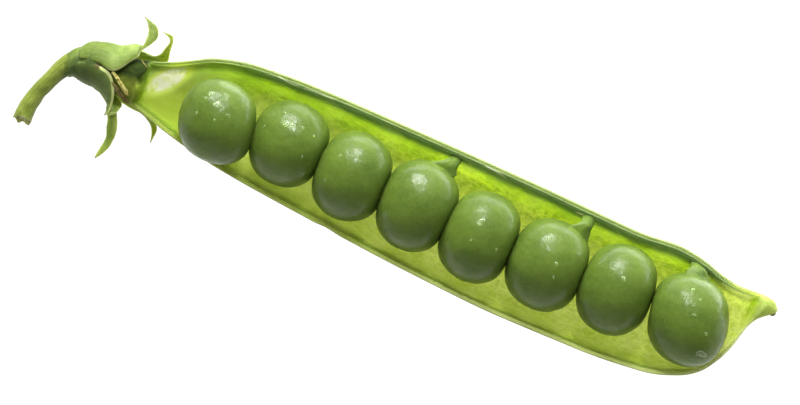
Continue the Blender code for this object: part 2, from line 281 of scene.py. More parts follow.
def valve_material():
    n = Nodes("pod_flesh")
    along, seed_seam, back_seam = n.mark("along"), n.mark("from_seed_seam"), n.mark("from_back_seam")
    blotch = n.noise((0.45, 0.6, 0.6), detail=4, roughness=0.6)
    fine = n.noise((1.3, 1.7, 1.7))
    grain = n.noise((3, 4, 4), roughness=0.6)
    cell = n.cells((0.9, 1.2, 1.2), warp=1.8)
    fibre = n.noise((0.5, 6.5, 6.5), detail=2, distortion=0.3)

    # The lining: lime, blotched and veined; part of its brightness is painted glow, the light that comes
    # through the thin wall.
    inner = n.ramp(blotch, (0.32, (142, 168, 38)), (0.48, (172, 198, 50)), (0.66, (194, 220, 70)))
    inner = n.blend(n.span(fine, 0.4, 0.65, 0, 0.5), inner, (138, 164, 40))
    inner = n.blend(n.span(cell, 0, 0.2, 0.45, 0), inner, (204, 224, 96))
    strand = n.cells((0.35, 0.9, 0.9), warp=3)
    inner = n.blend(n.span(strand, 0, 0.08, 0.3, 0), inner, (120, 148, 36))

    # Distances from the seams, which wander a little. Ramps take a quarter of them.
    waver = n.times(n.minus(n.noise(0.3, detail=4), 0.5), 1.1)
    waver = n.plus(waver, n.times(n.minus(n.noise(1.6), 0.5), 0.25))
    from_seed = n.plus(seed_seam, n.times(waver, n.span(seed_seam, 0.3, 1.3)))
    from_seed = n.times(n.math("DIVIDE", from_seed, 4), n.span(along, 29, 33, 1, 1.7))
    from_seed = n.times(from_seed, n.span(along, -34, -24, 0.6, 1))
    from_back = n.math("DIVIDE", n.plus(back_seam, n.times(waver, 0.25)), 4)

    # The seed side: a pale rim with a groove, and a dark band below it that is softer at both ends. The band
    # is thicker tissue of the ridge with painted shade of its steep wall.
    seed_side, seed_share = n.fading_ramp(
        from_seed, (0, (186, 202, 148), 1), (0.035, (158, 180, 112), 1), (0.08, (146, 168, 98), 1),
        (0.10, (174, 192, 124), 1), (0.125, (128, 154, 102), 1), (0.155, (114, 142, 96), 1),
        (0.18, (140, 164, 114), 1), (0.21, (122, 148, 104), 1), (0.27, (122, 150, 96), 1),
        (0.36, (142, 166, 70), 0.75), (0.50, (162, 184, 76), 0.3), (0.58, (164, 186, 76), 0))
    banded = n.times(n.span(along, -31, -21), n.span(along, 30.5, 35, 1, 0))
    in_rim = n.times(n.span(from_seed, 0.09, 0.12, 1, 0), n.span(along, 32, 35, 1, 0))
    banded = n.math("MAXIMUM", banded, n.times(in_rim, n.span(along, -32.5, -27)))
    soft = n.blend(n.span(from_seed, 0.05, 0.12), (116, 144, 64), (134, 166, 64))
    soft = n.blend(n.span(along, 0, 30), soft, (158, 182, 84))
    seed_side = n.blend(banded, soft, seed_side)
    seed_share = n.times(seed_share, n.plus(0.8, n.times(banded, 0.2)))

    # The back side: a rim that is greener towards the neck, with a shaded line under it.
    back_side, back_share = n.fading_ramp(
        from_back, (0, (150, 168, 96), 1), (0.10, (150, 172, 84), 1), (0.14, (100, 126, 40), 1),
        (0.165, (104, 130, 42), 0.9), (0.21, (136, 164, 46), 0.8), (0.5, (142, 168, 40), 0.5),
        (1, (158, 186, 46), 0))
    outer_back = n.blend(n.span(along, -12, 4), (128, 146, 56), (176, 194, 104))
    back_side = n.blend(n.span(from_back, 0.09, 0.12, 1, 0), back_side, outer_back)
    under = n.times(n.span(from_back, 0.10, 0.13), n.span(from_back, 0.19, 0.27, 1, 0))
    back_side = n.blend(n.times(under, n.span(along, -2, 8, 0.75, 0)), back_side, (88, 116, 34))

    # Towards the neck the lining is greener, and below the first peas it is darkened by a painted shadow of
    # the peas.
    painted_pea_shadow = n.times(n.span(along, -20, -9, 0.85, 0), n.span(from_back, 0.24, 0.55, 1, 0))
    inner = n.blend(painted_pea_shadow, inner, (82, 110, 30))
    inner = n.blend(n.span(along, -32, -27, 0.85, 0), inner, (126, 152, 24))
    inner = n.blend(n.span(along, -14, -2, 0.4, 0), inner, (122, 152, 46))
    inner = n.blend(back_share, inner, back_side)
    inner = n.blend(seed_share, inner, seed_side)

    # Where the valve is closed, in its neck and its beak.
    closed = n.plus(n.mark("closed"), n.times(n.minus(fine, 0.5), 0.6))
    closed = n.span(n.minus(closed, n.span(along, 0, 30, 0.2, 0)), 0.15, 0.75)
    # The neck is dark green, and darker on its upper side: painted shadow of the sepal that hangs over it.
    neck_painted_shadow = n.ramp(fine, (0.3, (32, 46, 12)), (0.7, (54, 72, 22)))
    neck_pale = n.ramp(fine, (0.3, (104, 118, 38)), (0.7, (134, 146, 56)))
    neck_green = n.blend(n.span(back_seam, 2, 4.4), neck_pale, neck_painted_shadow)
    tip_green = n.ramp(fine, (0.3, (138, 158, 72)), (0.7, (164, 182, 94)))
    inner = n.blend(closed, inner, n.blend(n.span(along, 0, 30), neck_green, tip_green))

    # The pale torn edge, scrapes, the white membrane in the neck, whose white is partly a painted highlight,
    # and streaks along the seed rim.
    pale = n.blend(n.span(fibre, 0.4, 0.62), (112, 132, 60), (168, 186, 110))
    plain = n.times(n.span(back_seam, 0.5, 1, 1, 0), n.span(along, -8, 4, 1, 0))
    edge = n.times(n.span(n.mark("edge"), 0.2, 0.8), n.span(plain, 0, 1, 0.6, 0.2))
    inner = n.blend(edge, inner, pale)
    inner = n.blend(n.mark("scrape"), inner, (232, 238, 206))
    membrane_and_sheen = n.mark("membrane_and_sheen")
    inner = n.blend(n.span(membrane_and_sheen, 0.02, 0.35, 0, 0.7), inner, (190, 216, 72))
    holes = n.span(n.noise((1.2, 0.8, 1)), 0.31, 0.56)
    inner = n.blend(n.times(n.span(membrane_and_sheen, 0.3, 0.95, 0, 0.95), holes), inner, (238, 255, 208))
    streak = n.times(n.span(seed_seam, 1, 1.4, 0.45, 0), n.span(fibre, 0.45, 0.65))
    inner = n.blend(n.times(streak, banded), inner, (92, 118, 56))

    # The outside: mid-green and finely veined, and darker towards the seed seam: painted shade on the side
    # that faces the light.
    vein = n.cells((0.5, 1, 1), warp=2.6)
    skin = n.ramp(blotch, (0.3, (78, 108, 40)), (0.7, (106, 136, 54)))
    skin = n.blend(n.span(vein, 0, 0.12, 0.3, 0), skin, (128, 158, 74))
    skin = n.blend(n.span(grain, 0.4, 0.7, 0, 0.25), skin, (120, 148, 68))
    skin = n.blend(n.times(n.span(seed_seam, 3, 9, 1, 0), 0.6), skin, (60, 80, 42))

    normal = n.bump(fibre, 0.4, 0.12)
    normal = n.bump(cell, 0.3, 0.12, normal)
    normal = n.bump(grain, 0.3, 0.06, normal)
    # Light comes through the thin wall, but not through the rims and the closed ends.
    glow = n.math("MAXIMUM", n.span(seed_seam, 0.8, 1.7), n.span(along, 31, 33.5, 0, 0.38))
    glow = n.times(n.times(glow, n.span(back_seam, -0.6, 1.2)), n.span(closed, 0, 1, 1, 0.4))
    glow = n.blend(n.mark("inside"), 0.5, n.blend(glow, 0.2, 1))
    return n.finish(Base_Color=n.blend(n.mark("inside"), skin, inner), Normal=normal,
                    Roughness=n.plus(n.span(fine, 0.3, 0.7, 0.34, 0.5), n.times(closed, 0.3)),
                    Subsurface_Weight=glow, Subsurface_Radius=(1, 1, 0.75), Subsurface_Scale=5 * MM,
                    Specular_IOR_Level=0.08)


def pea_material():
    n = Nodes("pea_skin")
    blotch = n.noise(0.28)
    speck = n.noise(2.8, detail=4, roughness=0.7)
    pores = n.cells(3.2, feature="F1")
    green = n.ramp(blotch, (0.3, (82, 106, 36)), (0.7, (102, 126, 45)))
    green = n.blend(n.span(speck, 0.35, 0.7, 0, 0.3), green, (118, 142, 62))
    green = n.blend(n.span(pores, 0, 0.22, 0.22, 0), green, (138, 162, 80))
    dimple = n.noise(0.9, roughness=0.5)
    normal = n.bump(dimple, 0.35, 0.12)
    normal = n.bump(speck, 0.25, 0.05, normal)
    normal = n.bump(pores, 0.12, 0.05, normal)
    wet = n.span(n.noise(0.5), 0.42, 0.6, 0.22, 0.5)
    film = n.bump(n.noise(1.3, detail=2), 0.55, 0.16)
    return n.finish(Base_Color=green, Roughness=n.span(speck, 0.3, 0.7, 0.36, 0.5), Normal=normal,
                    Subsurface_Weight=0.25, Subsurface_Radius=(0.8, 1.2, 0.3), Subsurface_Scale=0.8 * MM,
                    Specular_IOR_Level=0.14, Coat_Weight=wet, Coat_Roughness=0.2, Coat_IOR=1.4,
                    Coat_Normal=film)


def stalk_flesh_material():
    n = Nodes("seed_stalk_flesh")
    grain = n.noise(1.6, detail=4, roughness=0.6)
    string = n.noise((3.5, 0.7, 0.7), detail=2)
    green = n.ramp(grain, (0.3, (88, 116, 38)), (0.55, (112, 138, 54)), (0.8, (162, 184, 98)))
    green = n.blend(n.span(string, 0.4, 0.65, 0, 0.5), green, (122, 150, 70))
    # Darker at the root by the rim: darker tissue with painted shade of the rim.
    green = n.blend(n.span(n.mark("share"), 0.05, 0.4, 0.9, 0), green, (78, 106, 46))
    green = n.blend(n.span(n.mark("share"), 0.35, 0.7, 0, 1), green, (106, 132, 48))
    # Darker on one side: painted shade on the side away from the light.
    green = n.blend(n.span(n.mark("across"), 0, 0.4, 0, 0.6), green, (76, 102, 40))
    return n.finish(Base_Color=green, Roughness=0.35, Normal=n.bump(grain, 0.5, 0.12), Subsurface_Weight=0.4,
                    Subsurface_Radius=(1, 1, 0.5), Subsurface_Scale=0.8 * MM, Specular_IOR_Level=0.15)


def leaf_material():
    n = Nodes("sepal_leaf")
    blotch = n.noise(0.6, detail=4, roughness=0.6)
    fine = n.noise(4, detail=4, roughness=0.7)
    vein = n.math("ABSOLUTE", n.math("SINE", n.times(n.mark("across"), 6)))
    blade = n.ramp(blotch, (0.32, (124, 150, 66)), (0.68, (166, 186, 106)))
    root = n.ramp(blotch, (0.3, (92, 114, 42)), (0.7, (122, 142, 60)))
    inner = n.ramp(blotch, (0.3, (132, 152, 58)), (0.7, (160, 176, 78)))
    green = n.blend(n.mark("lining"), n.blend(n.mark("root"), blade, root), inner)
    green = n.blend(n.span(fine, 0.35, 0.7, 0, 0.25), green, (112, 136, 58))
    green = n.blend(n.span(vein, 0, 0.35, 0.14, 0), green, (180, 198, 124))
    green = n.blend(n.mark("shade"), green, (77, 96, 47))
    reach = n.plus(0.06, n.times(n.mark("pale_edge"), 0.16))
    rim = n.span(n.minus(n.mark("from_margin"), reach), 0, 0.1, n.plus(0.4, n.mark("pale_edge")), 0)
    green = n.blend(rim, green, (204, 216, 134))
    # A painted highlight along the edge of sepal 4's fold.
    green = n.blend(n.mark("fold"), green, (206, 218, 136))
    green = n.blend(n.mark("dry"), green, (98, 86, 46))
    normal = n.bump(vein, 0.2, 0.05)
    normal = n.bump(fine, 0.3, 0.06, normal)
    return n.finish(Base_Color=green, Roughness=0.6, Normal=normal, Subsurface_Weight=0.6,
                    Subsurface_Radius=(1, 1, 0.5), Subsurface_Scale=0.7 * MM, Specular_IOR_Level=0.2)


def stalk_material():
    n = Nodes("stalk_skin")
    rib = n.math("ABSOLUTE", n.math("SINE", n.times(n.mark("round"), 9)))
    blotch = n.noise(0.5, detail=4, roughness=0.6)
    fine = n.noise((3.5, 1.6, 3.5), detail=4, roughness=0.7)
    green = n.ramp(blotch, (0.3, (118, 134, 48)), (0.7, (156, 170, 76)))
    green = n.blend(n.span(fine, 0.35, 0.7, 0, 0.35), green, (122, 142, 50))
    green = n.blend(n.span(rib, 0, 0.5, 0.2, 0), green, (184, 202, 92))
    green = n.blend(n.mark("collar"), green, n.blend(n.mark("shade"), (112, 136, 52), (78, 96, 40)))
    torn = n.plus(n.mark("torn"), n.times(n.minus(fine, 0.5), 0.5))
    frayed = n.ramp(fine, (0.35, (124, 110, 54)), (0.6, (178, 178, 108)))
    green = n.blend(n.span(torn, 0.45, 1, 0, 0.9), green, frayed)
    normal = n.bump(rib, 0.25, 0.08)
    normal = n.bump(fine, 0.4, 0.08, normal)
    return n.finish(Base_Color=green, Roughness=0.5, Normal=normal, Subsurface_Weight=0.3,
                    Subsurface_Radius=(0.8, 1, 0.3), Subsurface_Scale=0.6 * MM, Specular_IOR_Level=0.25)


def dry_material():
    n = Nodes("dried_tissue")
    grain = n.noise(3, detail=4, roughness=0.7)
    brown = n.ramp(grain, (0.3, (108, 96, 44)), (0.5, (178, 170, 92)), (0.75, (218, 212, 136)))
    brown = n.blend(n.mark("dark"), brown, (96, 80, 46))
    return n.finish(Base_Color=brown, Roughness=0.8, Normal=n.bump(grain, 0.6, 0.08), Specular_IOR_Level=0.2)


def water_material():
    n = Nodes("water")
    # Its pale base, in the share of light that isn't let through, paints a pale highlight into each drop.
    return n.finish(Base_Color=linear(226, 238, 206), Roughness=0.04, IOR=1.33, Transmission_Weight=0.85,
                    Specular_IOR_Level=1)


# ---- the valve ----
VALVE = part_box("pod_valve")
NECK_X, BEAK_X = VALVE[0].x / MM, VALVE[1].x / MM
ROUNDNESS = 0.8  # of the valve across; 1 would make it an ellipse, and less makes it boxier
WALL = 0.9  # how much deeper the outside is than the inside
NECK_OPENS, BEAK_CLOSES = (-35.95, -35.15), (35.2, 37.2)  # from and to where along the pod
BULGE = 0.28  # how far a pea pushes the outside out
GROOVE_DEPTH = 0.13  # of the line below each seam
SCRAPE_HEIGHT = 0.05
FULL_RIM_WIDTH = 7
EDGE_WANDER = 0.18  # how unevenly the inner edge of the seed rim runs


def scrape_line(path):
    """Where the seed rim's skin is torn: a thin pale line through the given places, seen from above."""
    xs, ys = np.array(path).T
    line = curve(xs, ys)
    return lambda x, y: np.exp(-(((y - line(x)) / 0.055) ** 2)) * smoothstep(xs[0], xs[0] + 0.5, x) * (
        1 - smoothstep(xs[-1] - 0.5, xs[-1], x))


SCRAPES = [scrape_line(path) for path in (
    [(-22.3, 7.5), (-21.4, 7.36), (-20.5, 7.27), (-19.3, 7.34)],
    [(-19.2, 7.28), (-18.2, 7.38), (-17, 7.41), (-15.2, 7.43)],
    [(2.6, 7), (4.3, 6.9), (5, 6.75), (5.6, 6.55)], [(13.7, 6.1), (14.5, 6.16), (15.3, 6.1)])]
# Profiles of the two rims: distance in from the seam, and height above it.
BACK_RIM = [(0, 0), (0.04, 0.12), (0.16, 0.18), (0.30, 0.10), (0.38, 0.13), (0.46, -0.02), (0.52, -0.25)]
SEED_RIM = [
    (0, 0), (0.04, 0.13), (0.16, 0.21), (0.30, 0.14), (0.40, 0.05), (0.48, 0.13), (0.56, 0.10), (0.70, -0.04),
    (0.88, -0.30), (1.04, -0.74), (1.15, -1.22), (1.2, -1.6),
]


def seams():
    """The valve's two seams and its belly, measured on its solid: smooth curves by x, in mm."""
    solid = np.array([v.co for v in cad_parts["pod_valve"].data.vertices], float) / MM
    stations = []
    for x in np.unique(solid[:, 0].round(3)):
        ring = solid[np.abs(solid[:, 0] - x) < 2e-3]
        if len(ring) > 20:
            top = ring[ring[:, 1].argmax()]
            stations.append((x, top[1], ring[:, 1].min(), top[2] - ring[:, 2].min(), top[2]))
    stations = np.array(stations)
    seam_z = np.median(stations[:, 4])
    stations = stations[np.abs(stations[:, 4] - seam_z) < 0.05]
    return curve(stations[:, 0], stations[:, 1:4]), float(seam_z)


seam_at, SEAM_Z = seams()


def pea_middles():
    boxes = [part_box(f"pea_{i}") for i in range(1, PEA_COUNT + 1)]
    return np.array([(low + high) / 2 / MM for low, high in boxes])


PEA_MIDDLES = pea_middles()


def swelling(x):
    """1 beside each pea's middle, and 0 between two peas."""
    return np.max([np.exp(-(((x - m[0]) / 3.3) ** 4)) for m in PEA_MIDDLES], axis=0)


def make_valve():
    x = np.concatenate([np.linspace(NECK_X, 35.5, 432), np.linspace(35.5, BEAK_X, 34)[1:]])
    top, bottom, depth = seam_at(x).T
    swell = swelling(x)
    inhabited = smoothstep(-32, -26, x) * (1 - smoothstep(31, 35, x))
    depth = depth - 0.3 * (1 - swell) * inhabited
    middle, half = (top + bottom) / 2, (top - bottom) / 2
    scale = np.minimum(1, (top - bottom) / FULL_RIM_WIDTH)
    wander = np.array([noise.fractal(Vector((v / 3.5, 3.1, 0)), 1, 2, 3) for v in x])
    wander_back = np.array([noise.fractal(Vector((v / 3, 9.4, 2)), 1, 2, 3) for v in x])
    ledge = mix(0.5, 1, smoothstep(-34, -24, x)) * mix(1, 0.4, smoothstep(29, 33, x))
    marks = {key: [] for key in ("inside", "edge", "scrape")}
    rows_y, rows_z = [], []

    def column(y, z, inside, edge):
        rows_y.append(y)
        rows_z.append(z)
        scrape = np.max([line(x, y) for line in SCRAPES], axis=0) * (inside > 0.5)
        scrape = scrape * smoothstep(-0.8, -0.4, z - SEAM_Z)
        marks["scrape"].append(scrape)
        rows_z[-1] = z + SCRAPE_HEIGHT * scrape
        marks["inside"].append(np.full_like(x, inside))
        marks["edge"].append(np.full_like(x, edge))

    # The outside, round the belly from the seed seam to the back seam, with a groove below each seam.
    for turn in np.linspace(0, math.pi, 62):
        c, s = power(math.cos(turn), ROUNDNESS), abs(math.sin(turn)) ** ROUNDNESS
        push = BULGE * swell * inhabited * math.sin(turn) ** 2 * abs(math.cos(turn))
        drop = depth * s
        groove = GROOVE_DEPTH * np.exp(-(((drop - 0.75) / 0.35) ** 2)) * scale
        y = middle + (half - groove) * c + np.sign(c) * push
        z = SEAM_Z - drop
        z = 0.5 * (z + np.sqrt(z * z + 0.004))
        column(y, z, 0, 1 if drop.max() < 0.12 else 0)
    outside_count = len(rows_y)
    # Over the back rim.
    left = bottom + BACK_RIM[-1][0] * scale
    right = top - SEED_RIM[-1][0] * scale * (1 + EDGE_WANDER * wander) * ledge
    back_rim = curve(np.arange(len(BACK_RIM)), BACK_RIM)(np.linspace(0, len(BACK_RIM) - 1, 19))[1:]
    for inward, rise in back_rim:
        column(bottom + inward * scale, SEAM_Z + (rise + 0.05 * wander_back) * scale, 1,
               1 - smoothstep(0.14, 0.2, inward))
    # The lining.
    inner_middle, inner_half = (left + right) / 2, (right - left) / 2
    inner_depth = np.maximum(depth - WALL, 0.35 * depth)
    start, ridge = -BACK_RIM[-1][1], -SEED_RIM[-1][1]
    for share in np.linspace(0, 1, 76)[1:-1]:
        turn = math.pi * (1 - share)
        drop = inner_depth * abs(math.sin(turn)) ** ROUNDNESS
        low = np.sqrt(drop**2 + (start * scale * (1 - smoothstep(0, 0.3, share))) ** 2)
        low = np.maximum(low, np.sqrt(drop**2 + (ridge * scale * ledge * smoothstep(0.72, 1, share)) ** 2))
        column(inner_middle + inner_half * power(math.cos(turn), ROUNDNESS), SEAM_Z - low, 1, 0)
    # Up over the seed rim.
    seed_rim = curve(np.arange(len(SEED_RIM)), SEED_RIM)(np.linspace(len(SEED_RIM) - 1, 0, 36))[:-1]
    for inward, rise in seed_rim:
        deep = smoothstep(0.5, 1.15, inward)
        if 0.2 < inward < 0.6:  # the groove runs out before the beak and before the neck
            rise = mix(rise, 0.12, np.maximum(smoothstep(29.5, 33, x), 1 - smoothstep(-33, -28, x)))
        waved = inward * (1 + EDGE_WANDER * wander * deep) * mix(1, ledge, deep)
        height = SEAM_Z + (rise * mix(1, ledge, deep) + 0.05 * wander) * scale
        column(top - waved * scale, height, 1, 1 - smoothstep(0.12, 0.2, inward))
    count = len(rows_y)
    y, z = np.array(rows_y).T, np.array(rows_z).T

    # Where the valve is closed, in its neck and its beak, its upper side is a dome.
    inner_count = count - outside_count
    turns = math.pi * (1 - np.arange(1, inner_count + 1) / (inner_count + 1))
    dome_y = middle[:, None] + half[:, None] * power(np.cos(turns), 0.9)
    dome_z = SEAM_Z + 0.9 * depth[:, None] * np.abs(np.sin(turns))
    jag = 0.35 * np.array([noise.fractal(Vector((v * 1.3, 0, 4)), 1, 2, 3) for v in dome_y[0]])
    opened_neck = smoothstep(NECK_OPENS[0], NECK_OPENS[1], x[:, None] + jag)
    opened_beak = 1 - smoothstep(BEAK_CLOSES[0], BEAK_CLOSES[1], x[:, None])
    opened = opened_neck * opened_beak
    y[:, outside_count:] = mix(dome_y, y[:, outside_count:], opened)
    z[:, outside_count:] = mix(dome_z, z[:, outside_count:], opened)
    points = np.stack([np.repeat(x[:, None], count, 1), y, z], -1)

    # Shallow unevenness of the soft wall.
    inside = np.array(marks["inside"]).T
    lump = rough(points, 2.6, 3, 1) * 0.09 + rough(points, 0.9, 2, 2) * 0.025
    lump *= smoothstep(0.2, 1.2, SEAM_Z - z)
    sideways = y - middle[:, None]
    steep = smoothstep(0.3, 1, np.abs(sideways) / half[:, None])
    normal_y = np.where(inside > 0.5, -1, 1) * np.sign(sideways) * steep
    points[..., 1] += lump * normal_y
    points[..., 2] = np.maximum(points[..., 2] + lump * (1 - np.abs(normal_y)) * inside, 0)

    closed = np.zeros_like(y)
    closed[:, outside_count:] = 1 - opened
    # Where the membrane lies in the neck; its colour there is partly a painted highlight.
    slant = points[..., 1] - 2.4 - 0.8 * (points[..., 0] + 33.4)
    patch = np.exp(-(((points[..., 0] + 33.4) / 1.6) ** 2) - (slant / 1.2) ** 2)
    values = {
        "membrane_and_sheen": np.minimum(1, 1.7 * patch) * inside,
        "scrape": np.array(marks["scrape"]).T,
        "inside": inside,
        "edge": np.array(marks["edge"]).T * np.where(closed > 0.5, 0.3, 1),
        "closed": closed,
        "from_seed_seam": (top[:, None] - y) / scale[:, None],
        "from_back_seam": (y - bottom[:, None]) / scale[:, None],
        "along": np.repeat(x[:, None], count, 1),
    }
    return sleeve("pod_valve_skin", points, valve_material(), "pod_valve", values)


# ---- the peas ----
# How the face between two neighbours leans across the pod.
PRESS_LEAN = [-0.12, 0.03, 0, 0.10, 0.02, 0, -0.10]
RIM_PRESS = {1: ((0, -0.8, -0.6), 4.05)}  # where the valve's rim presses a pea, and how far from its middle
PEA_RADII = [  # towards the neck, towards the beak, across, up
    (4.25, 4.75, 4.60, 4.20), (4.45, 4.45, 4.80, 4.65), (4.45, 4.45, 5.00, 4.75), (4.55, 4.55, 5.15, 4.85),
    (4.50, 4.50, 5.15, 4.85), (4.65, 4.65, 5.15, 4.85), (4.60, 4.22, 5.15, 4.80), (5.00, 4.42, 5.00, 4.70),
]
PEA_SQUARENESS = 2.15  # of its outline from above: 2 is an ellipse
PEA_SHEAR = {1: -0.07, 8: -0.10}  # how far its outline leans, in x for each mm of y
PRESS_SHARPNESS = 13
PRESS_TILT = 0.14  # how far the face between two neighbours leans out of the vertical
PRESS_IN = 0.17  # makes up for the rounding of that face, so that the neighbours touch


def cube_sphere(steps):
    """Unit directions and quads of a cube blown up to a sphere, with steps quads along each edge."""
    t = np.tan(np.linspace(-1, 1, steps + 1) * math.pi / 4)
    a, b = np.meshgrid(t, t, indexing="ij")
    one = np.ones_like(a)
    sides = [(one, a, b), (-one, b, a), (b, one, a), (a, -one, b), (a, b, one), (b, a, -one)]
    points = unit(np.concatenate([np.stack(side, -1).reshape(-1, 3) for side in sides]))
    face = grid_faces(steps + 1, steps + 1, wrap=False)
    faces = np.concatenate([face + k * (steps + 1) ** 2 for k in range(6)])
    _, first, number = np.unique(points.round(6), axis=0, return_index=True, return_inverse=True)
    return points[first], number.ravel()[faces]


SPHERE = cube_sphere(56)


def pea_points(number):
    """Points of a pea round its middle: an ellipsoid with flats where its neighbours and the rim press it."""
    directions = SPHERE[0]
    left, right, across, up = PEA_RADII[number - 1]
    x, y, z = np.abs(directions).T / np.array([[1], [across], [up]])
    x = x / np.where(directions[:, 0] < 0, left, right)
    outline = (x**PEA_SQUARENESS + y**PEA_SQUARENESS) ** (2 / PEA_SQUARENESS)
    pull = (outline + z**2) ** (PRESS_SHARPNESS / 2)
    middle = PEA_MIDDLES[number - 1]
    for side, other in ((-1, number - 1), (1, number + 1)):
        if 1 <= other <= PEA_COUNT:
            lean = PRESS_LEAN[min(number, other) - 1]
            low, high = sorted((number, other))
            place = (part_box(f"pea_{low}")[1].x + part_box(f"pea_{high}")[0].x) / 2 / MM
            normal = unit(np.array([side, -side * lean, side * PRESS_TILT]))
            distance = abs(normal[0] * (place + lean * middle[1] - middle[0])) + PRESS_IN
            pull += np.maximum(0, directions @ normal / distance) ** PRESS_SHARPNESS
    if number in RIM_PRESS:
        normal, distance = RIM_PRESS[number]
        pull += np.maximum(0, directions @ np.array(normal) / distance) ** PRESS_SHARPNESS
    points = directions * (pull ** (-1 / PRESS_SHARPNESS))[:, None]
    points[:, 0] += PEA_SHEAR.get(number, 0) * points[:, 1]
    return points


def make_pea(number, material):
    points = pea_points(number)
    directions = SPHERE[0]
    sizes = rough(directions * 5 + number * 31, 3.2, 2, number) * 0.07
    sizes += rough(directions * 5, 0.9, 2, number) * 0.018
    points = points + directions * sizes[:, None]
    return shape(f"pea_{number}_skin", points + PEA_MIDDLES[number - 1], SPHERE[1], material,
                 [f"pea_{number}"])


# ---- seed stalks ----
# Each holds the pea of its number. From the rim to the pea: places on its two margins, and how far its middle
# bows up between them.
SEED_STALKS = {
    4: [
        (-1.2, 6.75, 4.6, 0.2, 6.75, 4.6, 0.15), (-1.2, 6.42, 5.1, 0.12, 6.38, 5.1, 0.25),
        (-1.35, 6.15, 5.7, 0.04, 6, 5.6, 0.3), (-1.8, 5.85, 6.4, 0, 5.6, 6, 0.3),
        (-2.3, 5.55, 6.6, 0.05, 5.2, 6.2, 0.25), (-2.9, 5.25, 6.7, 0.16, 4.8, 6.3, 0.2),
        (-3.3, 4.8, 6.9, -0.1, 4.45, 6.6, 0.1), (-3.2, 4.2, 7.2, -0.9, 4.1, 7.2, 0),
    ],
    6: [
        (14.75, 6.5, 4.6, 16.05, 6.5, 4.6, 0.15), (14.8, 6.15, 5.1, 16.08, 6.1, 5.1, 0.25),
        (14.82, 5.8, 5.7, 16.1, 5.7, 5.7, 0.3), (14.75, 5.4, 6.4, 16.12, 5.2, 6.1, 0.3),
        (14.45, 5, 6.7, 16.15, 4.7, 6.2, 0.25), (13.95, 4.65, 6.9, 16.25, 4.2, 6.3, 0.2),
        (13.6, 4.1, 7.2, 16.35, 3.6, 6.5, 0.1), (13.6, 3.5, 7.5, 16.3, 3, 6.9, 0),
    ],
    8: [
        (27.3, 6.35, 4.6, 28.9, 6.3, 4.6, 0.1), (27.5, 6, 5.1, 29.05, 5.95, 5.1, 0.15),
        (27.75, 5.65, 5.7, 29.3, 5.65, 5.7, 0.2), (27.8, 5.3, 6.2, 29.65, 5.45, 6.4, 0.2),
        (27.68, 5, 6.4, 29.95, 5.2, 6.6, 0.2), (27.5, 4.7, 6.6, 30.2, 4.9, 6.8, 0.15),
        (27.5, 4.3, 6.9, 30.3, 4.4, 7.1, 0.1), (27.7, 3.8, 7.2, 30.2, 3.9, 7.4, 0),
    ],
}
# What each upper face looks away from.
STALK_BACKS = {4: (-0.3, 5.5, 4), 6: (15.3, 5.5, 4), 8: (28.6, 5.3, 4)}
SEED_STALK_THICKNESS = 0.5


def surface_of(piece):
    corners = [v.co / MM for v in piece.data.vertices]
    return BVHTree.FromPolygons(corners, [p.vertices for p in piece.data.polygons])


def make_seed_stalk(number, pea, material):
    """Soft tissue that leaves the rim narrow, waists, and spreads into a foot that thins out over its pea."""
    points, share, across, side, _ = blade(
        SEED_STALKS[number], SEED_STALK_THICKNESS, STALK_BACKS[number], number, rows=80, columns=29)
    points = points + 0.03 * rough(points, 0.5, 3, number)[..., None] * np.array([0.3, 0.3, 1])
    tree = surface_of(pea)
    proud = np.where(side > 0.5, -0.15, 0.26 * (1 - smoothstep(0.5, 0.97, share)) - 0.03)
    for row, column in np.argwhere(share > 0.4):
        x, y, z = points[row, column]
        hit = tree.ray_cast(Vector((x, y, 30)), Vector((0, 0, -1)))[0]
        if hit is not None:
            points[row, column, 2] = max(z, hit.z + proud[row, column])
    return sleeve(f"seed_stalk_{number}_flesh", points, material, f"seed_stalk_{number}",
                  {"share": share, "across": across})


# ---- calyx, stalk and dried parts ----
CUP_MIDDLE = np.array([-41, 1.1, 5.6])
# The cup along its bend: middle of each ring, its outer radius and its turn out of the YZ plane in
# degrees; then inside, back to its floor.
CUP_RINGS = [
    (-44.55, -1.05, 5.31, 0.96, 60), (-44.15, -0.45, 5.4, 1.12, 45), (-43.9, -0.1, 5.44, 1.27, 27),
    (-43.65, 0.2, 5.46, 1.66, 9), (-43.35, 0.42, 5.48, 1.75, 4), (-43, 0.6, 5.5, 1.77, 1),
    (-42.5, 0.84, 5.52, 2.06, 0), (-42, 1.05, 5.55, 2.37, 0), (-41.5, 1.1, 5.58, 2.45, 0),
    (-40.95, 1.1, 5.6, 2.48, 0), (-40.75, 1.1, 5.6, 2.4, 0), (-40.85, 1.1, 5.6, 2.2, 0),
    (-41.7, 1.1, 5.6, 2, 0), (-42.4, 0.95, 5.55, 1.7, 0),
]
STALK_PATH = [
    (-43.3, 0.40, 5.5), (-43.75, 0.05, 5.46), (-44.15, -0.45, 5.4), (-44.55, -1.1, 5.3), (-45, -2, 5.12),
    (-45.45, -3, 4.92), (-45.88, -4, 4.7), (-46.15, -5, 4.52), (-46.38, -6, 4.35), (-46.47, -7, 4.2),
    (-46.48, -7.7, 4.1),
]
STALK_RADII = [1.2, 1.2, 1.1, 1.01, 0.93, 0.9, 0.9, 0.96, 1, 1.04, 1.06]
LEAF_THICKNESS = 0.26
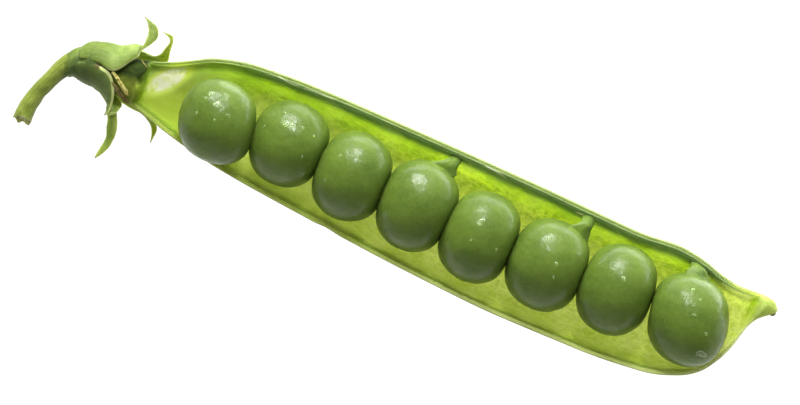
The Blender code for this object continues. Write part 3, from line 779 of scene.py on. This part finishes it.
# From root to tip: places on the two margins, and how far the middle bows out between them.
SEPALS = {
    "sepal_1": [
        (-42.9, 0.95, 7.38, -42.9, 2.2, 4.7, 0.6), (-42.2, 1.1, 7.75, -42.2, 3, 4.6, 0.88),
        (-41.3, 1.15, 8, -41.3, 3.35, 4.6, 1), (-40.5, 1.2, 8.2, -40.5, 3.6, 4.7, 1.06),
        (-39.8, 1.05, 8.3, -39.6, 3.8, 5, 1.06), (-38.95, 1.05, 8.25, -38.9, 4, 5.4, 1),
        (-38.25, 1.6, 8.15, -38.2, 4.5, 6, 0.85), (-37.75, 2.4, 7.95, -37.7, 4.8, 6.5, 0.7),
        (-37.3, 3.05, 7.75, -37.3, 4.9, 6.9, 0.5), (-37, 3.6, 7.6, -37.05, 4.93, 7.2, 0.35),
        (-36.95, 4.25, 7.5, -36.95, 4.97, 7.35, 0.15), (-36.5, 4.95, 7.4, -36.95, 5.3, 7.5, 0.05),
        (-36.1, 5.6, 7.3, -36.95, 5.9, 7.5, 0.15), (-35.83, 6.15, 7.1, -37, 6.4, 7.4, 0.2),
        (-35.98, 6.85, 7, -37.15, 6.85, 7.3, 0.2), (-36.4, 7.4, 7, -37.4, 7.25, 7.3, 0.15),
        (-37.1, 7.65, 7.1, -37.7, 7.6, 7.3, 0.08), (-38.1, 7.92, 7.3, -38.13, 7.88, 7.32, 0),
    ],
    "sepal_2": [
        (-42.2, 3, 5, -42.2, 2, 3.5, 0.3), (-40.9, 3.5, 4.9, -40.9, 2.4, 3.4, 0.35),
        (-39.6, 3.75, 4.5, -39.6, 2.7, 3.1, 0.35), (-38.6, 3.95, 4.2, -38.6, 2.9, 3, 0.3),
        (-37.6, 4.15, 4.2, -37.3, 3.2, 3, 0.3), (-36.9, 4.3, 4.4, -36.2, 3.45, 3.1, 0.3),
        (-36.2, 4.2, 4.5, -35.2, 3.75, 3.2, 0.25), (-35.6, 4.45, 4.6, -34.5, 4, 3.4, 0.2),
        (-35.1, 4.9, 4.7, -34.05, 4.4, 3.7, 0.15), (-34.85, 5.6, 4.8, -34.1, 5.1, 4.2, 0.1),
        (-34.6, 6.3, 4.9, -34.2, 5.8, 4.6, 0.1), (-34.72, 6.72, 5, -34.25, 6.5, 4.9, 0.1),
        (-35.1, 6.93, 5.1, -34.6, 7.15, 5.1, 0.05), (-35.7, 7.1, 5.2, -35.72, 7.14, 5.2, 0),
    ],
    "sepal_3": [
        (-42.9, 0.55, 7.38, -42.9, -0.95, 4.7, 0.58), (-42.2, 0.8, 7.75, -42.2, -1.1, 4.6, 0.82),
        (-41.3, 1, 8, -41.3, -1.2, 4.6, 0.95), (-40.6, 1.06, 8.15, -40.5, -1.2, 4.6, 1.02),
        (-39.9, 0.96, 8.2, -39.9, -1.25, 4.8, 1), (-39.3, 0.8, 8.2, -39.35, -1.35, 5, 0.95),
        (-38.75, 0.35, 8.15, -38.9, -1.6, 5.2, 0.85), (-38.35, -0.25, 8, -38.5, -1.85, 5.5, 0.7),
        (-38.02, -0.9, 7.8, -38.25, -2.2, 5.8, 0.55), (-37.8, -1.6, 7.5, -38.1, -2.65, 6.1, 0.4),
        (-37.7, -2.4, 7.2, -38.05, -3.1, 6.3, 0.25), (-37.7, -3.1, 6.9, -38.05, -3.5, 6.5, 0.12),
        (-38, -3.75, 6.6, -38.15, -3.8, 6.6, 0),
    ],
    "sepal_4": [
        (-42.2, -0.9, 4.6, -42.2, 0.1, 3.5, 0.3), (-41, -1.1, 4.9, -41, -0.4, 3.5, 0.4),
        (-39.8, -1, 5.1, -40.2, -1.2, 4, 0.4), (-38.7, -1, 5.4, -39.6, -1.6, 4.4, 0.35),
        (-37.6, -1.35, 5.8, -39, -2, 4.7, 0.3), (-36.8, -1.9, 6.1, -38.5, -2.4, 5, 0.25),
        (-36.8, -2.5, 6.2, -38.2, -2.9, 5.5, 0.2), (-36.95, -2.98, 6.2, -37.95, -3.6, 5.9, 0.1),
        (-36.93, -3.1, 5.7, -37.85, -3.7, 5.5, 0.1), (-36.6, -3.8, 5.5, -37.6, -4.2, 5.3, 0.15),
        (-36.35, -4.6, 5.3, -37.42, -4.9, 5.1, 0.2), (-36.2, -5.6, 5, -37.2, -5.8, 4.9, 0.2),
        (-36.3, -6.6, 4.8, -37.17, -6.6, 4.7, 0.2), (-36.6, -7.4, 4.6, -37.3, -7.3, 4.6, 0.15),
        (-37, -8.1, 4.5, -37.42, -8, 4.5, 0.08), (-37.38, -8.6, 4.4, -37.45, -8.5, 4.4, 0),
    ],
    "sepal_5": [
        (-42.2, 1.9, 3.6, -42.2, 0.2, 3.4, 0.3), (-40.5, 1.6, 3.2, -40.5, -0.5, 3.2, 0.35),
        (-38.5, 1, 2.5, -38.5, -1.3, 2.7, 0.35), (-36.5, 0, 1.6, -36.5, -1.9, 2.2, 0.3),
        (-35, -1, 1.3, -35, -2.05, 1.9, 0.25), (-33.8, -1.9, 1.5, -34, -2.3, 2, 0.2),
        (-33, -2.4, 1.8, -33.5, -2.6, 2.2, 0.15), (-32.5, -2.8, 2.1, -33.1, -3, 2.3, 0.12),
        (-32.35, -3.4, 2.4, -32.8, -3.6, 2.5, 0.1), (-32.4, -4.1, 2.7, -32.6, -4.2, 2.8, 0.06),
        (-32.42, -4.72, 3, -32.5, -4.75, 3, 0),
    ],
}


PALE_EDGES = {"sepal_3": 0.6, "sepal_1": 0.25}  # how much wider and paler the margin is on the upper side
# How much painted shade darkens and greys each sepal, and then its tip.
SHADES = {"sepal_3": 0.62, "sepal_5": 0.15}
SHADED_TIPS = {"sepal_1": 0.5, "sepal_2": 0.1, "sepal_3": 0.3, "sepal_4": 0.2, "sepal_5": 0.3}
SEPAL_4_FOLD = 0.462  # its share of the length at which sepal 4 folds over


def torn_notch(points):
    """1 at the small torn place where the upper sepal and the dark one part."""
    apart = np.hypot(points[..., 0] + 40.72, 0.75 * (points[..., 1] - 1))
    return 0.9 * (1 - smoothstep(0.1, 0.45, apart + 0.12 * rough(points, 0.4, 3, 5)))


def make_cup(material):
    rows, sides = 150, 112
    rings = through(CUP_RINGS, rows)
    turn = around(sides) - math.pi / 2
    middle = rings[:, :3]
    lean = np.radians(rings[:, 4])[:, None]
    away = np.stack([-np.sin(lean) * np.cos(turn), np.cos(lean) * np.cos(turn), 0 * lean + np.sin(turn)], -1)
    points = middle[:, None] + rings[:, 3, None, None] * away
    nerve = 0.012 * np.cos(10 * turn) * np.ones((rows, 1))
    outside = (np.arange(rows) < 0.74 * rows)[:, None]
    lump = 0.07 * rough(points, 2, 2, 3) + 0.012 * rough(points, 0.5, 2, 4)
    points = points + away * (np.where(outside, nerve + lump, 0.5 * lump))[..., None]
    torn = smoothstep(-41.3, -40.8, rings[:, 0])[:, None] * rough(points, 0.7, 3, 5)
    points[..., 0] += 0.25 * torn
    from_axis = points[..., 1] - middle[:, None, 1] - 0.5
    values = {
        "across": np.tile(turn * 66 / 28, (rows, 1)),
        "lining": np.tile(np.where(outside, 0, 1), (1, sides)),
        "from_margin": np.ones((rows, sides)),
        "root": np.ones((rows, sides)),
        "dry": np.maximum(smoothstep(0.1, 0.5, torn), torn_notch(points)),
        "shade": 0.75 * (1 - smoothstep(-0.25, 0.5, from_axis)) * smoothstep(-43.9, -43.4, points[..., 0]),
    }
    return sleeve("calyx_cup_skin", points, material, "calyx_cup", values)


def blade(outline, thickness, away_from, seed, rows=150, columns=33):
    """A leaf between two margins, bowed out between them, veined, and thin towards its margins and tip.

    Gives its points, and for each of them its share of the length, its place across in mm, its side (1 for
    the inner one) and its distance from the nearer margin.
    """
    a, b, bow = np.split(through(outline, rows), [3, 6], axis=1)
    u = np.linspace(0, 1, columns)
    flat = a[:, None] + (b - a)[:, None] * u[:, None]
    out = unit(np.cross(np.gradient((a + b) / 2, axis=0), b - a + 1e-6))
    root = (a[10] + b[10]) / 2 - np.array(away_from)
    if (out[10] * root * (0, 1, 1)).sum() < 0:
        out = -out
    width = np.linalg.norm(b - a, axis=1)[:, None]
    hump = (4 * u * (1 - u)) ** 0.8
    sheet = flat + out[:, None] * (bow * hump)[..., None]
    share = np.linspace(0, 1, rows)[:, None]
    grown = smoothstep(0.1, 0.35, share) * np.minimum(width, 1.5)
    ripple = 0.11 * rough(sheet, 1.7, 2, seed) * (0.3 + 0.7 * np.abs(2 * u - 1)) * grown
    veins = 0.006 * np.cos((u - 0.5) * width * 12) * grown
    thick = thickness * (0.16 + 0.84 * np.sqrt(np.maximum(0, 1 - np.abs(2 * u - 1) ** 5))) * (1 - 0.6 * share)
    thick = np.minimum(thick, 0.4 * width + 0.03)
    normals = np.cross(np.gradient(sheet, axis=0), np.gradient(sheet, axis=1))
    normals = unit(normals + 1e-9 * out[:, None])
    normals *= np.sign((normals * out[:, None]).sum(-1, keepdims=True))
    outer = sheet + normals * (ripple + veins + thick / 2)[..., None]
    inner = sheet + normals * (ripple + veins - thick / 2)[..., None]
    both = np.concatenate([u, u[::-1]])
    side = np.tile(np.repeat([0, 1], columns), (rows, 1))
    from_margin = (1 - np.abs(2 * both - 1)) * width / 2
    points = np.concatenate([outer, inner[:, ::-1]], axis=1)
    return points, share + 0 * both, (both - 0.5) * width, side, from_margin


def make_sepal(name, material):
    outline = SEPALS[name]
    points, share, across, side, from_margin = blade(outline, LEAF_THICKNESS, CUP_MIDDLE, 7 + outline[0][1])
    body, tip = 1 - smoothstep(0.75, 0.95, share), smoothstep(0.6, 0.8, share)
    values = {
        "across": across,
        "lining": side,
        "from_margin": from_margin + 0.5 * (1 - smoothstep(0.15, 0.3, share)),
        "dry": np.maximum(smoothstep(0.955, 1, share), torn_notch(points)),
        "root": 1 - smoothstep(0.1, 0.45, share),
        "shade": np.maximum(SHADES.get(name, 0) * body, SHADED_TIPS[name] * tip),
        "pale_edge": PALE_EDGES.get(name, 0) * (across < 0) * smoothstep(0.22, 0.26, share),
    }
    if name == "sepal_4":  # at its fold a pale line, a painted highlight on the fold's edge, and below it painted shade
        values["fold"] = np.exp(-(((share - SEPAL_4_FOLD) / 0.012) ** 2))
        off_middle = smoothstep(0.15, 0.5, np.abs(across) / (from_margin + np.abs(across) + 1e-6))
        folded = smoothstep(SEPAL_4_FOLD + 0.008, SEPAL_4_FOLD + 0.028, share)
        folded = folded * (1 - smoothstep(0.7, 0.95, share))
        values["shade"] = 0.5 * folded * (1 - off_middle * 0.6)
    return sleeve(f"{name}_blade", points, material, name, values)


def make_stalk(material):
    """A ribbed stalk, torn off at its free end, where fibres stand out of a hollowed face."""
    rows, sides = 120, 96
    path, radii = through(STALK_PATH, rows), through(STALK_RADII, rows)[:, None]
    turn = around(sides)
    ribs = 0.006 * np.cos(11 * turn) + 0.008 * np.cos(5 * turn + 1)
    wall = sweep(path, (0, 0, 1), radii * (1 + ribs), radii * (1 + ribs), sides)
    away = unit(wall - path[:, None])
    wall = wall + away * (0.06 * rough(wall, 1.8, 3, 6) + 0.015 * rough(wall, 0.4, 2, 7))[..., None]
    onward = unit(path[-1] - path[-2])
    jag = 0.42 * rough(wall[-1], 1.1, 2, 8) + 0.10 * rough(wall[-1], 0.3, 2, 9)
    near_end = smoothstep(0.93, 1, np.linspace(0, 1, rows))[:, None]
    # The tear slopes, so that it faces up a little.
    slope = -0.45 * (wall[-1] - path[-1]) @ np.array([0, 0, 1])
    wall = wall + (near_end * (jag + slope))[..., None] * onward
    face = []
    for share, depth in ((0.93, 0.05), (0.82, -0.22), (0.62, -0.30), (0.40, -0.18), (0.18, -0.26)):
        ring = path[-1] + (wall[-1] - path[-1]) * share
        ring = ring - ((ring - path[-1]) @ onward - slope * share)[:, None] * onward * (1 - share)
        fibres = 0.14 * rough(ring, 0.35, 3, 10 + share)
        face.append(ring + (depth + fibres)[:, None] * onward)
    points = np.concatenate([wall, face])
    torn = np.concatenate([smoothstep(0.9, 1, np.linspace(0, 1, rows)) * 0.75, np.full(len(face), 1)])
    from_axis = points[..., 1] - np.concatenate([path, np.repeat(path[-1:], len(face), 0)])[:, None, 1]
    values = {
        "round": np.tile(turn, (len(points), 1)),
        "torn": np.tile(torn[:, None], (1, sides)),
        "collar": smoothstep(-44.3, -43.7, points[..., 0]),
        "shade": 1 - smoothstep(-0.2, 0.7, from_axis),
    }
    return sleeve("stalk_skin_piece", points, material, "stalk", values)


# Dried parts: path, half width and half thickness, all from base to tip.
DRIED = {
    "dried_stamen_1": ([(-39, 0.95, 8.2), (-38.3, 0.55, 8.3), (-37.5, 0, 8.25), (-36.9, -0.45, 8.1),
                        (-36.45, -0.8, 7.95)],
                       [0.14, 0.17, 0.2, 0.22, 0.10], 0.10),
    "dried_stamen_2": ([(-38.6, -0.05, 7.95), (-37.9, -0.6, 7.75), (-37.1, -1.1, 7.3), (-36.5, -1.4, 7),
                        (-36.05, -1.6, 6.75)],
                       [0.16, 0.2, 0.22, 0.2, 0.10], 0.12),
    "dried_stamen_3": ([(-36.55, 3.4, 7.4), (-36.2, 3.15, 7.6), (-35.85, 2.95, 7.7), (-35.6, 2.8, 7.7)],
                       [0.03, 0.05, 0.045, 0.02], 0.04),
    "style_tip": ([(38.4, 4.25, 5.7), (38.3, 4.02, 5.7), (38.1, 3.9, 5.7), (37.85, 3.84, 5.7)],
                  [0.17, 0.16, 0.13, 0.06], 0.13),
}


DARKNESS = {"dried_stamen_2": 0.7, "dried_stamen_3": 0.35}


def make_dried_part(name, material):
    """A shrivelled strap: flat, twisted a little, and creased along its length."""
    path, wide, high = DRIED[name]
    rows, sides = 70, 36
    middle, wide = through(path, rows), through(wide, rows)[:, None]
    turn = around(sides)
    crease = 1 + 0.22 * np.cos(5 * turn + 9 * np.linspace(0, 1, rows)[:, None])
    points = sweep(middle, (0, 0, 1), wide * crease, np.minimum(high, wide) * crease, sides)
    away = unit(points - middle[:, None])
    points = points + away * (0.35 * wide * rough(points, 0.35, 3, len(path)))[..., None]
    dark = np.full((rows, sides), DARKNESS.get(name, 0))
    return sleeve(f"{name}_strand", points, material, name, {"dark": dark})


# ---- drops of water ----
# Each: the pea, the drop's middle seen from above, and its two half lengths.
DROPS = [
    (1, -27.85, 2.85, 0.38, 0.3), (1, -26.85, 2.1, 0.42, 0.3), (1, -28.3, 2.2, 0.2, 0.16),
    (1, -28.6, 0.3, 0.16, 0.2), (1, -26.5, 0.37, 0.14, 0.14), (1, -25.3, 1.4, 0.2, 0.14),
    (2, -19.8, 4, 0.16, 0.14), (2, -21.3, 1.8, 0.14, 0.14), (2, -17.3, 3.2, 0.16, 0.16),
    (2, -15.9, 2.9, 0.14, 0.14), (2, -18.9, 3, 0.62, 0.36), (2, -16.2, 0.3, 0.12, 0.12),
    (2, -15.4, -1.4, 0.12, 0.14), (3, -12.4, 2, 0.16, 0.14), (3, -12.9, -1.1, 0.12, 0.12),
    (5, 4.5, 1.1, 0.28, 0.36), (5, 7.3, -1, 0.14, 0.14), (5, 4.3, -1.1, 0.12, 0.12),
    (6, 12.05, 2.3, 0.22, 0.14), (6, 13.9, 0.06, 0.2, 0.2), (6, 14.2, -1.4, 0.14, 0.14),
    (7, 21.3, 1.4, 0.24, 0.18), (8, 28.8, 3.1, 0.18, 0.18), (8, 29.9, 2.4, 0.14, 0.14),
    (8, 29.9, 0.6, 0.24, 0.13), (8, 31.9, -0.8, 0.13, 0.18), (8, 32.3, -3, 0.58, 0.36),
]
DROP_SCALE = 1.15  # of the sizes above
DROP_HEIGHT = 0.75  # as a share of the smaller half size
FLAT_DROP = 0.28  # larger drops are no higher than one of this half size


def make_drops(peas):
    """Flat beads of water that lie on the peas, all in one piece."""
    rings, sides = 10, 24
    trees = {number: surface_of(pea) for number, pea in peas.items()}
    turn = around(sides)
    points, quads, caps = [], [], []
    for number, x, y, long, short in DROPS:
        long, short = DROP_SCALE * long, DROP_SCALE * short
        place, normal, _, _ = trees[number].ray_cast(Vector((x, y, 30)), Vector((0, 0, -1)))
        normal = np.array(normal)
        side = unit(np.cross(normal, (0, 1, 0.35 * math.sin(17 * x))))
        other = np.cross(normal, side)
        wobble = 1 + 0.12 * np.cos(2 * turn + x) + 0.08 * np.cos(3 * turn + 5 * y)
        first = sum(len(p) for p in points)
        for rise in np.linspace(-0.35, 0.97, rings):
            span = math.sqrt(max(0, 1 - max(rise, 0) ** 2)) * (1 if rise >= 0 else 0.9)
            lifted = np.array(place) + normal * (DROP_HEIGHT * min(long, short, FLAT_DROP) * rise)
            points.append(lifted + (span * wobble * long * np.cos(turn))[:, None] * side
                          + (span * wobble * short * np.sin(turn))[:, None] * other)
        quads.append(grid_faces(rings, sides) + first)
        caps += [[first + i for i in face] for face in ends(rings, sides)]
    points, quads = np.concatenate(points), np.concatenate(quads)
    drops = shape("water_drops", points, quads, water_material(), caps=caps)
    drops.visible_shadow = False  # water lets light through to the skin below it


# ---- camera, light and floor ----
IMAGE_TURN = math.radians(22.4)  # how far the pod's axis is turned down to the right in the picture
VIEW_MIDDLE = (-4.4, -0.27)
VIEW_WIDTH, VIEW_HEIGHT_Z = 88, 6  # width of the view in mm at the height of the rims
LENS, SENSOR = 200, 36


def make_camera():
    data = bpy.data.cameras.new("camera")
    data.lens, data.sensor_width = LENS, SENSOR
    camera = bpy.data.objects.new("camera", data)
    distance = VIEW_WIDTH / SENSOR * LENS
    place = Vector((VIEW_MIDDLE[0], VIEW_MIDDLE[1], VIEW_HEIGHT_Z + distance)) * MM
    camera.matrix_world = Matrix.Translation(place) @ Matrix.Rotation(IMAGE_TURN, 4, "Z")
    data.clip_start, data.clip_end = 0.01, 10
    bpy.context.scene.collection.objects.link(camera)
    bpy.context.scene.camera = camera


# Each light: its name, where it is, where it points and its size, in metres, and its power in watts.
LIGHTS = [
    ("key", (-0.13, 0.36, 0.18), (0, 0, 0), (0.22, 0.12), 2.4),
    ("sparkle", (-0.06, 0.29, 0.34), (0, 0, 0), (0.04, 0.04), 0.95),
    ("light_table", (0.02, 0.022, -0.00001), (0.02, 0.022, 1), (0.10, 0.028), 0.0345),
]
FLOOR_REACH, FLOOR_DROP = 3, 0.02 * MM  # its half side, and how far it is below the pod, in metres


def make_light(name, place, target, size, power_w):
    data = bpy.data.lights.new(name, "AREA")
    data.shape, data.size, data.size_y = "RECTANGLE", size[0], size[1]
    data.energy = power_w
    light = bpy.data.objects.new(name, data)
    light.location = place
    light.rotation_mode = "QUATERNION"
    light.rotation_quaternion = (Vector(target) - Vector(place)).to_track_quat("-Z", "Y")
    light.visible_camera = False
    bpy.context.scene.collection.objects.link(light)


def make_floor():
    n = Nodes("floor")
    floor_material = n.finish(Base_Color=(0.03, 0.03, 0.03, 1), Roughness=1, Specular_IOR_Level=0,
                              Emission_Color=(1, 1, 1, 1), Emission_Strength=1.2)
    mesh = bpy.data.meshes.new("floor")
    corners = [(x * FLOOR_REACH, y * FLOOR_REACH, 0) for x, y in ((-1, -1), (1, -1), (1, 1), (-1, 1))]
    mesh.from_pydata(corners, [], [(0, 1, 2, 3)])
    mesh.materials.append(floor_material)
    floor = bpy.data.objects.new("floor", mesh)
    floor.location.z = -FLOOR_DROP
    bpy.context.scene.collection.objects.link(floor)


# How bright the room is from the pod's back, at 0, past overhead to the side of its seeds, at 1.
ROOM = [(0, 0.95), (0.10, 0.42), (0.28, 0.13), (0.5, 0.13), (0.75, 0.38), (1, 0.55)]


def make_world():
    """A pale room, brightest beyond the seam that carries the seeds, and dim overhead."""
    n = Nodes("studio", bpy.data.worlds.new("studio"))
    way = n.add("ShaderNodeSeparateXYZ", {0: n.add("ShaderNodeTexCoord").outputs["Generated"]})
    slope = n.add("ShaderNodeMapRange", {"Value": way.outputs["Y"], "From Min": -1})
    ramp = n.add("ShaderNodeValToRGB", {"Fac": slope.outputs["Result"]})
    fill_ramp(ramp, [(place, (strength, strength, strength, 1)) for place, strength in ROOM])
    bpy.context.scene.world = n.finish("Background", Color=ramp.outputs["Color"])


def make_light_and_floor():
    make_world()
    for light in LIGHTS:
        make_light(*light)
    bpy.context.scene.view_settings.view_transform = "Standard"
    bpy.context.scene.view_settings.look = "None"
    make_floor()


def main():
    make_camera()
    make_valve()
    skin = pea_material()
    peas = {number: make_pea(number, skin) for number in range(1, PEA_COUNT + 1)}
    make_drops(peas)
    flesh = stalk_flesh_material()
    for number in SEED_STALKS:
        make_seed_stalk(number, peas[number], flesh)
    leaf = leaf_material()
    make_cup(leaf)
    for name in SEPALS:
        make_sepal(name, leaf)
    make_stalk(stalk_material())
    dry = dry_material()
    for name in DRIED:
        make_dried_part(name, dry)
    make_light_and_floor()


main()
